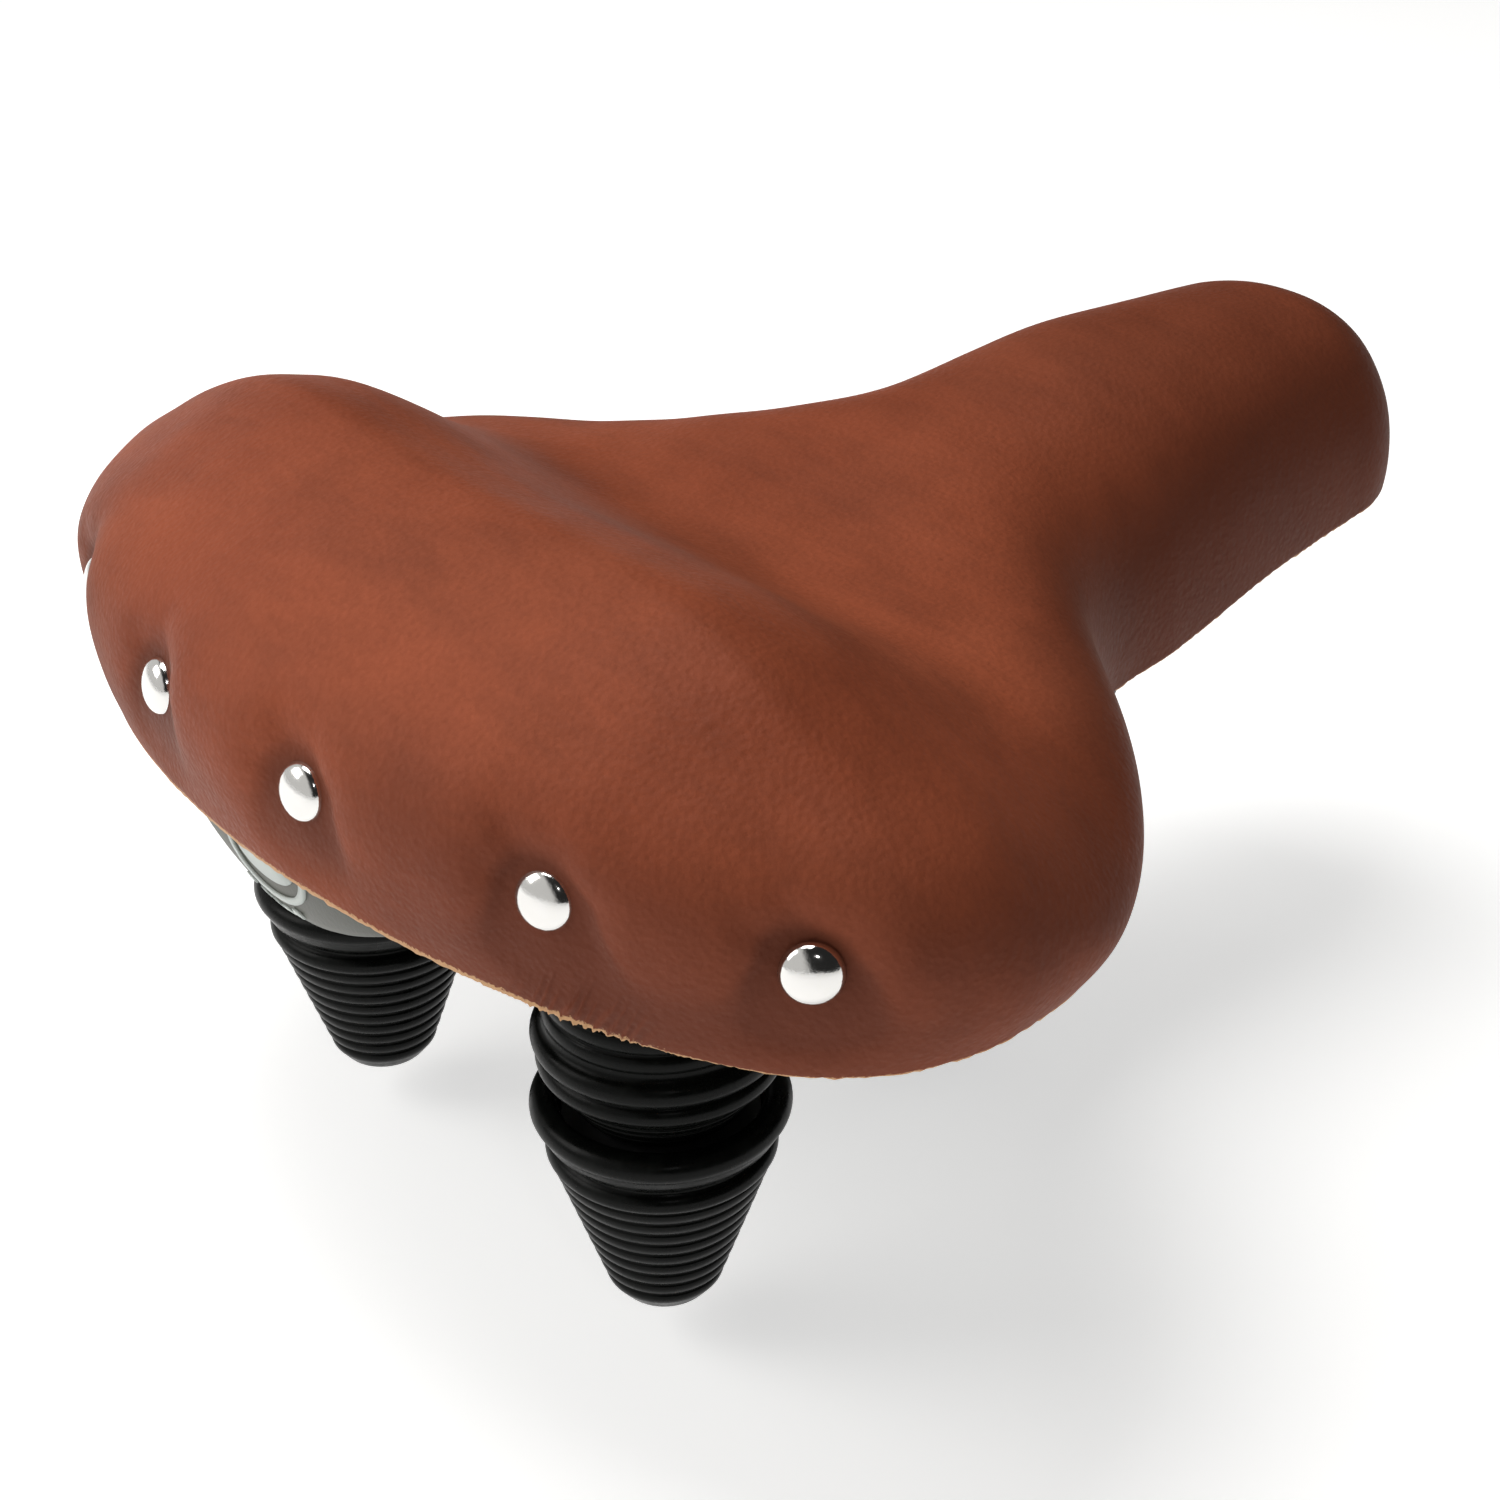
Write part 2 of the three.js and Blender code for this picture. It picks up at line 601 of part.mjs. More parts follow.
// ---- The badge on the apron: a small oval plate without marks, its top behind the cover's edge ----
const BADGE = { halfWidth: 12, halfHeight: 6.5, thickness: 0.8, x: 7.4, z: 1, lean: 7 };

function badge() {
  const oval = new THREE.Shape();
  oval.absellipse(0, 0, BADGE.halfWidth, BADGE.halfHeight, 0, 2 * Math.PI);
  const depth = BADGE.thickness;
  const plate = new THREE.ExtrudeGeometry(oval, { depth, bevelEnabled: false, curveSegments: 12 });
  const [left, up, forward] = [[0, 1, 0], [0, 0, 1], [1, 0, 0]].map((axis) => new THREE.Vector3(...axis));
  return plate.applyMatrix4(new THREE.Matrix4().makeBasis(left, up, forward))
    .rotateY(-radians(BADGE.lean))
    .translate(BADGE.x, 0, BADGE.z);
}

// ---- Assembly ----
add("leather_cover", geometryOf(cover()), leather);
add("foam_pad", geometryOf(padding()), foam);
add("base_shell", geometryOf(shell()), shellPlastic);
RIVETS.forEach((place) => add(place.name, rivet(place), chrome));

add("rear_badge", badge(), badgePlate);
add("nose_bracket", geometryOf(noseBracket()), zincSteel);
SCREW_XS.forEach((x, i) => add(`nose_screw_${i + 1}`, noseScrew().translate(x, 0, 0), zincSteel));
add("pivot_pin", pivotPin(), zincSteel);
add("pivot_clip", pivotClip(), springSteel);
add("nose_yoke", geometryOf(noseYoke()), blackSteel);
add("pivot_bush", pivotBush(), shellPlastic);

for (const [side, sign] of SIDES) {
  const washerTop = BOSS_BOTTOM - CLEAR;
  const topWasher = ring(BOLT_R + CLEAR, 15.8, washerTop - WASHER, washerTop);
  add(`top_washer_${side}`, onSpring(topWasher, sign), zincSteel);
  add(`upper_boot_${side}`, onSpring(upperBoot(), sign), rubber);
  add(`upper_spring_${side}`, onSpring(coil(-12.2, -40.6, 13, 8.6, 4, 1.4), sign), springSteel);
  add(`eye_plate_${side}`, eyePlate(sign), blackSteel);
  add(`lower_boot_${side}`, onSpring(lowerBoot(sign), sign), rubber);
  add(`lower_spring_${side}`, onSpring(coil(-47.8, -70, 14, 6.6, 4, 1.4), sign), springSteel);
  add(`bottom_washer_${side}`, onSpring(ring(BOLT_R + CLEAR, 8, -73, -71.8), sign), zincSteel);
  add(`guide_bolt_${side}`, onSpring(guideBolt(), sign), zincSteel);
  add(`guide_nut_${side}`, onSpring(hexagon(11, -77.8, -73.3, BOLT_R + CLEAR), sign), zincSteel);
  add(`rail_${side}`, rail(sign), blackSteel);
  add(`inner_cheek_${side}`, cheek(HEAD_Y + CLEAR, RAIL_Y - CLEAR, sign), blackSteel);
  add(`outer_cheek_${side}`, cheek(RAIL_Y + CLEAR, RAIL_Y + 7.5, sign), blackSteel);
  const [low, high] = [RAIL_Y + 7.5 + CLEAR, RAIL_Y + 9.1];
  const washer = onCross(ring(CROSS_R + CLEAR, 8, sign > 0 ? low : -high, sign > 0 ? high : -low));
  add(`clamp_washer_${side}`, washer, zincSteel);
}
add("rear_crossbar", rearCrossbar(), blackSteel);
add("clamp_collar", geometryOf(collar()), blackSteel);
add("clamp_bolt", clampBolt(), zincSteel);
add("clamp_nut", onCross(hexagon(13, -37.4, -31.8, CROSS_R + CLEAR)), zincSteel);

export default saddle;
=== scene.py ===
"""Looks of a sprung city saddle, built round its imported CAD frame, which is in metres, +X to the nose
and +Z up. Shapes are written in saddle millimetres, see DATUM."""

import json
import math

import bpy
import numpy as np
from mathutils import Matrix, Vector


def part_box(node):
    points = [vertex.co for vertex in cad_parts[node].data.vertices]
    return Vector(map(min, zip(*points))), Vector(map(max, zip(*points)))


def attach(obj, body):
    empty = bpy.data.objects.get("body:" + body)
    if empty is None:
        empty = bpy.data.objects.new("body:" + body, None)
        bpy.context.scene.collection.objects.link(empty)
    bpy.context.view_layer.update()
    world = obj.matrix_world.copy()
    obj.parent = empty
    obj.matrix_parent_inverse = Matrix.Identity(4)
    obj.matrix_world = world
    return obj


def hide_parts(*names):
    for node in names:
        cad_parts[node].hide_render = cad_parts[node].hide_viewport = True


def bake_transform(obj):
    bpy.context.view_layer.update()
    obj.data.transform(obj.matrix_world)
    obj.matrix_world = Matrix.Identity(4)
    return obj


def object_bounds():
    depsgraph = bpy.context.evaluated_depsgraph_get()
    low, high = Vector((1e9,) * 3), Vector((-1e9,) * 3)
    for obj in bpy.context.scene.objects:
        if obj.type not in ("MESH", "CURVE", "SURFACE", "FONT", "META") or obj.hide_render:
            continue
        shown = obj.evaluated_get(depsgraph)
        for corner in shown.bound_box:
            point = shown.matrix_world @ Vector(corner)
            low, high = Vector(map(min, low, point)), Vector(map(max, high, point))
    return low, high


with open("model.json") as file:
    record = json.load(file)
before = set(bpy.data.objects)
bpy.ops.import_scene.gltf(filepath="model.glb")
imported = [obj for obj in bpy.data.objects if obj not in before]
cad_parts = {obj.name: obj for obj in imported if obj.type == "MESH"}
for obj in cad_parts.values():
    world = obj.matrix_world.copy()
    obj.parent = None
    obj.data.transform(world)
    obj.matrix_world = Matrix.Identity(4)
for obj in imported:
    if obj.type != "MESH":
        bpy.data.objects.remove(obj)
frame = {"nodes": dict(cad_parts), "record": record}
CAD_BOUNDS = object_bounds()

MM = 0.001
SIDES = {"left": 1, "right": -1}

# ---- Saddle coordinates: millimetres, X from the rear edge, Z from the middle of the rim ----
BOLT_X = 53.3
BOLT_TOP = 3.0
bolt_low, bolt_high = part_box("guide_bolt_left")
DATUM = np.array([(bolt_low[0] + bolt_high[0]) / 2 - BOLT_X * MM, 0.0, bolt_high[2] - BOLT_TOP * MM])
SPRING_Y = (bolt_low[1] + bolt_high[1]) / 2 / MM

LENGTH = 265
HALF_WIDTH = 120
WIDEST_X = 68
NECK_X = 179
NOSE_HALF = 39
NOSE_TAPER = 7
NOSE_ROUND = 27
REAR_POWER = 1.9
NOSE_POWER = 2.1
CREST_ENDS = (48.5, 239)
CREST = [(20, 53.8), (48.5, 53.8), (62, 49.5), (100, 31.7), (150, 38), (200, 43.7), (240, 42.3)]
RIM = [(0, 6.5), (40, -0.8), (80, 2.2), (120, 8.9), (165, -5.4), (215, 3.4), (265, 9.2)]
WING_X, WING_Y, WING_LONG, WING_WIDE, WING_RISE = 60, 62, 42, 30, 5.7
REAR_SECTION = {"side": 2.26, "top": 2.49, "tuck": 0.08}
NOSE_SECTION = {"side": 2.39, "top": 2.26, "tuck": 0.05}

SHELL_INSET = 4.7
SHELL_RISE = 0.5
SHELL_WALL = 3
SHELL_EDGE = 1.5
APRON_DROP = 16
APRON_HALF_WIDTH = 46
APRON_FADE = 1.5
APRON_CURL = 0.25
COVER_WALL = 1.8


# ---- Small maths ----
def ease(t):
    t = np.clip(t, 0, 1)
    return t * t * t * (t * (6 * t - 15) + 10)


def bell(distance, width):
    return np.exp(-((distance / width) ** 2))


def curve_through(knots):
    """A smooth curve through (x, value) knots that never overshoots between them."""
    x, v = np.array(knots, float).T
    step = np.diff(x)
    rise = np.diff(v) / step
    slope = np.concatenate([rise[:1], np.zeros(len(x) - 2), rise[-1:]])
    for i in range(1, len(x) - 1):
        if rise[i - 1] * rise[i] > 0:
            before, after = 2 * step[i] + step[i - 1], step[i] + 2 * step[i - 1]
            slope[i] = (before + after) / (before / rise[i - 1] + after / rise[i])

    def at(where):
        where = np.clip(where, x[0], x[-1])
        i = np.clip(np.searchsorted(x, where, side="right") - 1, 0, len(step) - 1)
        t = (where - x[i]) / step[i]
        ends = (1 + 2 * t) * (1 - t) ** 2 * v[i] + t * t * (3 - 2 * t) * v[i + 1]
        return ends + step[i] * (t * (1 - t) ** 2 * slope[i] - t * t * (1 - t) * slope[i + 1])

    return at


crest_at = curve_through(CREST)
rim_at = curve_through(RIM)


def half_width(x):
    rear = np.clip((WIDEST_X - x) / WIDEST_X, 0, 1)
    wing = HALF_WIDTH + (NOSE_HALF - HALF_WIDTH) * ease((x - WIDEST_X) / (NECK_X - WIDEST_X))
    taper = NOSE_TAPER * np.clip((x - NECK_X) / (LENGTH - NECK_X), 0, 1)
    tip = np.clip((x - LENGTH + NOSE_ROUND) / NOSE_ROUND, 0, 1)
    rear_round = np.clip(1 - rear**REAR_POWER, 0, 1) ** (1 / REAR_POWER)
    return (wing - taper) * rear_round * np.clip(1 - tip**NOSE_POWER, 0, 1) ** (1 / NOSE_POWER)


GATHER_ALONG = 80.0  # millimetres round the rim from the rear centre to the middle of the gathers
GATHER_SPREAD = 11.5


def half_outline(count, focus=0.0):
    """Outline points (x, y, outward x, outward y) on the left, rear centre to nose, evenly spaced or
    crowded by focus round the gathers."""
    turn = np.linspace(0, np.pi / 2, 900)
    rear = WIDEST_X * (1 - np.cos(turn))
    waist = np.linspace(WIDEST_X, LENGTH - NOSE_ROUND, 900)[1:]
    nose = LENGTH - NOSE_ROUND + NOSE_ROUND * np.sin(turn[1:])
    x = np.concatenate([rear, waist, nose])
    y = half_width(x)
    y[0] = y[-1] = 0
    length = np.concatenate([[0], np.cumsum(np.hypot(np.diff(x), np.diff(y)))])
    crowd = 1 + focus * bell(length - GATHER_ALONG, GATHER_SPREAD * 1.4)
    share = np.concatenate([[0], np.cumsum((crowd[1:] + crowd[:-1]) / 2 * np.diff(length))])
    wanted = np.linspace(0, share[-1], count)
    place = np.interp(wanted, share, length)
    tangent = np.stack([np.gradient(x, length), np.gradient(y, length)])
    tangent[:, 0] = (0, 1)
    tangent[:, -1] = (0, -1)
    tx, ty = (np.interp(place, length, part) for part in tangent)
    size = np.hypot(tx, ty)
    return {
        "x": np.interp(place, length, x),
        "y": np.interp(place, length, y),
        "nx": -ty / size,
        "ny": tx / size,
        "along": place,
    }


def around(count, focus=0.0):
    """The whole outline as one loop: the left side forwards, then the right side back."""
    half = half_outline(count, focus)
    loop = {key: np.concatenate([value, value[-2:0:-1]]) for key, value in half.items()}
    loop["side"] = np.concatenate([np.ones(count), -np.ones(count - 2)])
    loop["side"][[0, count - 1]] = 0
    return loop


def section_at(x, key):
    return REAR_SECTION[key] + (NOSE_SECTION[key] - REAR_SECTION[key]) * ease((x - 90) / 80)


def padded_rows(loop, turns, inset=0.0):
    """The padded surface as an array [row, column, xyz]; turn 0 is the crest and 1 the rim."""
    angle = np.pi / 2 * np.asarray(turns, float)[:, None]
    x, y = loop["x"][None], loop["y"][None]
    crest_x = np.clip(x, *CREST_ENDS)
    out = np.sin(angle) ** (2 / section_at(x, "side"))
    up = np.clip(np.cos(angle), 0, 1) ** (2 / section_at(x, "top"))
    reach = out * (1 - section_at(x, "tuck") * (1 - up) ** 3)
    px = crest_x + (x - loop["nx"] * inset - crest_x) * reach
    py = (y - loop["ny"] * inset) * reach
    puff = np.exp(-(((px - WING_X) / WING_LONG) ** 2) - ((np.abs(py) - WING_Y) / WING_WIDE) ** 2)
    rim = rim_at(x)
    pz = rim + (crest_at(crest_x) - inset - rim) * up + WING_RISE * puff * np.sqrt(up)
    return np.stack([px, py * loop["side"], pz], -1)


def shell_rows(loop, turns, inset=0.0):
    """The shell's dome and wall, squarer than the padding."""
    angle = np.pi / 2 * np.asarray(turns, float)[:, None]
    x, y = loop["x"][None], loop["y"][None]
    keep = 1 - section_at(x, "tuck")
    crest_x = np.clip(x, *CREST_ENDS)
    wall_x = crest_x + (x - crest_x) * keep - loop["nx"] * (SHELL_INSET + inset)
    wall_y = y * keep - loop["ny"] * (SHELL_INSET + inset)
    out = np.sin(angle) ** 0.25
    up = np.clip(np.cos(angle), 0, 1) ** 0.67
    rim = rim_at(x)
    top = rim_at(crest_x) + SHELL_RISE * (crest_at(crest_x) - rim_at(crest_x)) - inset
    pz = rim + (top - rim) * up
    px = crest_x + (wall_x - crest_x) * out
    return np.stack([px, wall_y * out * loop["side"], pz + 0 * px], -1)


def apron_rows(loop, shares, inset=0.0):
    """The shell's lower edge, deep and curled under in the apron at the rear."""
    share = np.pi / 2 * np.asarray(shares, float)[:, None]
    wall = shell_rows(loop, [1], inset)
    middle = np.clip(1 - (loop["y"] / APRON_HALF_WIDTH) ** 2, 0, 1)
    rear = np.where(loop["x"] < WIDEST_X, middle**APRON_FADE, 0)
    drop = SHELL_EDGE + (APRON_DROP - SHELL_EDGE) * rear
    curl = drop * APRON_CURL * rear * (1 - np.cos(share))
    px = wall[..., 0] - loop["nx"] * curl
    py = wall[..., 1] - loop["ny"] * loop["side"] * curl
    return np.stack([px, py, wall[..., 2] - drop * np.sin(share)], -1)


# ---- Mesh helpers ----
def to_frame(points):
    return np.asarray(points, float) * MM + DATUM


def to_saddle(point):
    return (np.array(point) - DATUM) / MM


def mesh_piece(name, points, faces, body=None):
    """A smooth object from points in saddle millimetres, riding body when one is given."""
    mesh = bpy.data.meshes.new(name)
    mesh.from_pydata(to_frame(points).tolist(), [], faces)
    mesh.validate()
    piece = bpy.data.objects.new(name, mesh)
    bpy.context.scene.collection.objects.link(piece)
    mesh.shade_smooth()
    if body:
        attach(piece, body)
    return piece


def strip_faces(rows, columns, closed_rows=False):
    """Quads between rows of points that run in closed loops."""
    faces = []
    last = rows if closed_rows else rows - 1
    for r in range(last):
        low, high = r * columns, ((r + 1) % rows) * columns
        for c in range(columns):
            n = (c + 1) % columns
            faces.append((low + c, low + n, high + n, high + c))
    return faces


def weld(points, faces, attributes, distance=1e-4):
    """Joins points that coincide, and drops the faces that collapse."""
    keys = np.round(points / distance).astype(np.int64)
    _, first, inverse = np.unique(keys, axis=0, return_index=True, return_inverse=True)
    inverse = inverse.reshape(-1)
    kept = []
    for face in faces:
        corners = []
        for index in face:
            joined = int(inverse[index])
            if joined not in corners:
                corners.append(joined)
        if len(corners) > 2:
            kept.append(tuple(corners))
    return points[first], kept, {key: value[first] for key, value in attributes.items()}


def paint(piece, name, values):
    layer = piece.data.attributes.new(name, "FLOAT", "POINT")
    layer.data.foreach_set("value", np.asarray(values, np.float32))


def lathe(profile, sides):
    """A solid of revolution about Z from a closed list of (radius, z), with its poles welded."""
    turn = 2 * np.pi * np.arange(sides) / sides
    r, z = np.array(profile, float).T
    points = np.stack([r[:, None] * np.cos(turn), r[:, None] * np.sin(turn), z[:, None] + 0 * turn], -1)
    faces = strip_faces(len(profile), sides, closed_rows=True)
    points, faces, _ = weld(points.reshape(-1, 3), faces, {})
    return points, [face[::-1] for face in faces]


def arc(radius, start, end, steps, centre=(0, 0)):
    angles = np.radians(np.linspace(start, end, steps + 1))
    return [(centre[0] + radius * math.cos(a), centre[1] + radius * math.sin(a)) for a in angles]


# ---- Materials ----
RANGE_SOCKETS = ("From Min", "From Max", "To Min", "To Max")


class Nodes:
    """A Principled material and short ways to add nodes to it."""

    def __init__(self, name, **sockets):
        self.material = bpy.data.materials.new(name)
        self.material.use_nodes = True
        self.tree = self.material.node_tree
        self.shader = self.tree.nodes["Principled BSDF"]
        for socket, value in sockets.items():
            self.shader.inputs[socket.replace("_", " ")].default_value = value
        self.where = self.add("ShaderNodeTexCoord").outputs["Object"]

    def add(self, kind, **settings):
        node = self.tree.nodes.new(kind)
        for key, value in settings.items():
            setattr(node, key, value)
        return node

    def link(self, source, target):
        if isinstance(source, (int, float)):
            target.default_value = source
        else:
            self.tree.links.new(source, target)

    def noise(self, scale, detail=4.0, rough=0.55, stretch=(1, 1, 1)):
        node = self.add("ShaderNodeTexNoise")
        node.inputs["Scale"].default_value = scale
        node.inputs["Detail"].default_value = detail
        node.inputs["Roughness"].default_value = rough
        mapping = self.add("ShaderNodeMapping")
        mapping.inputs["Scale"].default_value = stretch
        self.link(self.where, mapping.inputs["Vector"])
        self.link(mapping.outputs["Vector"], node.inputs["Vector"])
        return node.outputs["Fac"]

    def cells(self, scale, feature="F1", smooth=0.0):
        node = self.add("ShaderNodeTexVoronoi", feature=feature)
        node.inputs["Scale"].default_value = scale
        if feature == "SMOOTH_F1":
            node.inputs["Smoothness"].default_value = smooth
        self.link(self.where, node.inputs["Vector"])
        return node.outputs["Distance"]

    def attribute(self, name):
        return self.add("ShaderNodeAttribute", attribute_name=name).outputs["Fac"]

    def remap(self, value, low, high, to_low, to_high):
        node = self.add("ShaderNodeMapRange")
        self.link(value, node.inputs["Value"])
        for socket, number in zip(RANGE_SOCKETS, (low, high, to_low, to_high)):
            node.inputs[socket].default_value = number
        return node.outputs["Result"]

    def math(self, operation, a, b):
        node = self.add("ShaderNodeMath", operation=operation)
        self.link(a, node.inputs[0])
        self.link(b, node.inputs[1])
        return node.outputs["Value"]

    def mix(self, share, a, b):
        """Colour A to colour B. The colour sockets share their names with float ones, so go by place."""
        node = self.add("ShaderNodeMix", data_type="RGBA")
        self.link(share, node.inputs[0])
        for socket, colour in ((node.inputs[6], a), (node.inputs[7], b)):
            if isinstance(colour, tuple):
                socket.default_value = (*colour, 1)
            else:
                self.link(colour, socket)
        return node.outputs[2]

    def bump(self, height, distance, strength=1.0, after=None):
        node = self.add("ShaderNodeBump")
        node.inputs["Distance"].default_value = distance
        node.inputs["Strength"].default_value = strength
        self.link(height, node.inputs["Height"])
        if after is not None:
            self.link(after, node.inputs["Normal"])
        return node.outputs["Normal"]

    def finish(self, **sockets):
        for socket, source in sockets.items():
            self.link(source, self.shader.inputs[socket.replace("_", " ")])
        return self.material


LEATHER_MID = (0.305, 0.070, 0.030)
LEATHER_LIGHT = (0.380, 0.092, 0.040)
LEATHER_DARK = (0.105, 0.028, 0.014)
RAW_EDGE = (0.52, 0.30, 0.15)


def leather():
    n = Nodes("suede_leather", Roughness=0.6)
    n.shader.inputs["Specular IOR Level"].default_value = 0.12
    n.shader.inputs["Sheen Weight"].default_value = 0.03
    n.shader.inputs["Sheen Roughness"].default_value = 0.4
    n.shader.inputs["Sheen Tint"].default_value = (0.9, 0.5, 0.32, 1)
    clouds = n.noise(16, 5, 0.6)
    brushed = n.noise(60, 6, 0.65, (1, 0.35, 1))
    nap = n.noise(900, 3, 0.7)
    grain = n.cells(900, "SMOOTH_F1", 0.6)
    creases = n.noise(320, 5, 0.6)
    colour = n.mix(n.remap(clouds, 0.36, 0.66, 0, 1), LEATHER_MID, LEATHER_LIGHT)
    colour = n.mix(n.remap(brushed, 0.40, 0.75, 0, 0.45), colour, LEATHER_DARK)
    colour = n.mix(n.remap(nap, 0.35, 0.7, 0, 0.16), colour, LEATHER_DARK)
    # Painted shade: the lower skirt, the rivet pits and the hollows between the pleats are darkened, and the
    # nose is darker, partly in tone and partly painted shade.
    colour = n.mix(n.attribute("painted_shade_and_tone"), colour, LEATHER_DARK)
    ragged = n.math("ADD", n.attribute("raw"), n.remap(n.noise(1500, 4, 0.7), 0.3, 0.7, -0.35, 0.35))
    colour = n.mix(n.remap(ragged, 0.45, 0.6, 0, 1), colour, RAW_EDGE)
    rough = n.math("ADD", n.remap(clouds, 0.3, 0.7, 0.50, 0.66), n.remap(nap, 0.3, 0.7, -0.05, 0.07))
    normal = n.bump(creases, 0.0004, 0.35)
    normal = n.bump(grain, 0.00022, 0.5, normal)
    normal = n.bump(nap, 0.0001, 0.5, normal)
    return n.finish(Base_Color=colour, Roughness=rough, Normal=normal)


def foam():
    n = Nodes("foam", Roughness=0.95)
    cells = n.cells(700)
    colour = n.mix(n.remap(cells, 0, 0.6, 0, 1), (0.42, 0.34, 0.2), (0.62, 0.53, 0.36))
    return n.finish(Base_Color=colour, Normal=n.bump(cells, 0.0006, 0.8))


def moulded_plastic(name, dark, light, roughness):
    n = Nodes(name, Roughness=roughness)
    speckle = n.noise(1200, 3, 0.6)
    clouds = n.noise(30, 4, 0.6)
    colour = n.mix(n.remap(clouds, 0.3, 0.7, 0, 1), dark, light)
    rough = n.remap(clouds, 0.3, 0.7, roughness - 0.05, roughness + 0.08)
    return n.finish(Base_Color=colour, Roughness=rough, Normal=n.bump(speckle, 0.00012, 0.5))


def rubber():
    n = Nodes("boot_rubber", Roughness=0.25)
    n.shader.inputs["Specular IOR Level"].default_value = 0.1
    dust = n.noise(260, 5, 0.65)
    colour = n.mix(n.remap(dust, 0.5, 0.85, 0, 1), (0.0022, 0.0026, 0.0022), (0.006, 0.007, 0.006))
    rough = n.remap(dust, 0.3, 0.75, 0.2, 0.42)
    return n.finish(Base_Color=colour, Roughness=rough, Normal=n.bump(n.noise(500, 3), 0.0001, 0.35))


def steel(name, colour, worn, roughness, metallic=1.0):
    n = Nodes(name, Roughness=roughness, Metallic=metallic)
    blotch = n.noise(90, 5, 0.6)
    scratch = n.noise(1400, 3, 0.6)
    tint = n.mix(n.remap(blotch, 0.35, 0.75, 0, 1), colour, worn)
    rough = n.remap(blotch, 0.3, 0.7, roughness - 0.06, roughness + 0.1)
    return n.finish(Base_Color=tint, Roughness=rough, Normal=n.bump(scratch, 0.00006, 0.4))


MATERIALS = {
    "leather": leather(),
    "foam": foam(),
    "shell_plastic": moulded_plastic("shell_plastic", (0.050, 0.052, 0.042), (0.085, 0.087, 0.070), 0.42),
    "badge": moulded_plastic("badge_print", (0.40, 0.44, 0.42), (0.52, 0.56, 0.53), 0.4),
    "chrome": steel("chrome", (0.80, 0.79, 0.77), (0.72, 0.71, 0.69), 0.09),
    "boot_rubber": rubber(),
    "spring_steel": steel("spring_steel", (0.22, 0.22, 0.22), (0.10, 0.09, 0.08), 0.35),
    "zinc_steel": steel("zinc_steel", (0.50, 0.49, 0.46), (0.36, 0.35, 0.33), 0.34),
    "black_steel": steel("black_steel", (0.012, 0.012, 0.013), (0.022, 0.021, 0.020), 0.36, 0.0),
    "bush_plastic": moulded_plastic("bush_plastic", (0.50, 0.47, 0.38), (0.60, 0.57, 0.47), 0.45),
}


def dress(piece, slot):
    piece.data.materials.clear()
    piece.data.materials.append(MATERIALS[slot])
    return piece


# ---- Cover: relief is in millimetres, placed by distance along the rim and up the skirt ----
RIVETS = [f"rivet_{side}_{i}" for side in SIDES for i in (1, 2, 3)]
DIMPLE = 5.4
DIMPLE_WIDE, DIMPLE_ABOVE, DIMPLE_BELOW = 8.4, 9.5, 15.0
DIMPLE_PLEATS = 7
DIMPLE_PLEAT = 0.16
BULGE = 3.3
BULGE_CLIMB, BULGE_SPREAD = 27, 15
BULGE_ENDS, BULGE_FADE = 122, 45
PIT_KNEE = 0.2  # relief under this height levels off by PIT_SOFT
PIT_SOFT = 0.7


def node_centre(node):
    low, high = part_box(node)
    return (np.array(low) + np.array(high) - 2 * DATUM) / 2 / MM


def grid_normals(points):
    """Outward normals of a [row, column] surface that closes on itself along its columns."""
    down = np.gradient(points, axis=0)
    ahead = (np.roll(points, -1, axis=1) - np.roll(points, 1, axis=1)) / 2
    normal = np.cross(ahead, down)
    normal[0] = (0, 0, 1)
    return normal / np.maximum(np.linalg.norm(normal, axis=-1, keepdims=True), 1e-9)


def lumps(points, size, seed):
    """Smooth seeded undulation between about -1 and 1, from a few crossing waves."""
    chance = np.random.default_rng(seed)
    total = np.zeros(points.shape[:-1])
    for _ in range(9):
        direction = chance.normal(size=3)
        direction *= chance.uniform(0.6, 1.5) * 2 * np.pi / size / np.linalg.norm(direction)
        total += np.sin(points @ direction + chance.uniform(0, 2 * np.pi))
    return total / 3


def skirt_places(points, loop):
    """For each point, millimetres along the rim from the rear centre and up the skirt from the rim."""
    steps = np.linalg.norm(np.diff(points, axis=0), axis=-1)
    climb = np.concatenate([np.cumsum(steps[::-1], axis=0)[::-1], np.zeros((1, points.shape[1]))])
    return np.broadcast_to(loop["along"] * np.where(loop["side"] < 0, -1, 1), climb.shape), climb


def rivet_spots(points, along, climb):
    spots = []
    for name in RIVETS:
        distance = np.linalg.norm(points - node_centre(name), axis=-1)
        row, column = np.unravel_index(np.argmin(distance), distance.shape)
        spots.append((along[row, column], climb[row, column]))
    return spots


def skirt_shape(along, climb, spots):
    """Height added to the skirt: the bulge above the rivets, their dimples, and small pleats round each."""
    rear = 1 - ease((np.abs(along) - BULGE_ENDS) / BULGE_FADE)
    height = BULGE * rear * bell(climb - BULGE_CLIMB, BULGE_SPREAD)
    for spot_along, spot_climb in spots:
        aside = along - spot_along
        up = climb - spot_climb
        reach = np.where(up > 0, DIMPLE_ABOVE, DIMPLE_BELOW)
        distance = np.hypot(aside / DIMPLE_WIDE, up / reach)
        angle = np.arctan2(up, aside)
        height -= DIMPLE * np.exp(-(distance**2.1)) * ease(climb / 11)
        pleats = np.cos(angle * DIMPLE_PLEATS + spot_along) * bell(distance - 1.15, 0.35)
        height += DIMPLE_PLEAT * pleats * np.where(up > 0, 1.0, 0.35)
    # The cover's inner wall is close below, so the deepest pits level off softly.
    level = np.minimum(height - PIT_KNEE, 0)
    return np.maximum(height, PIT_KNEE) - PIT_SOFT * (1 - np.exp(level / PIT_SOFT))


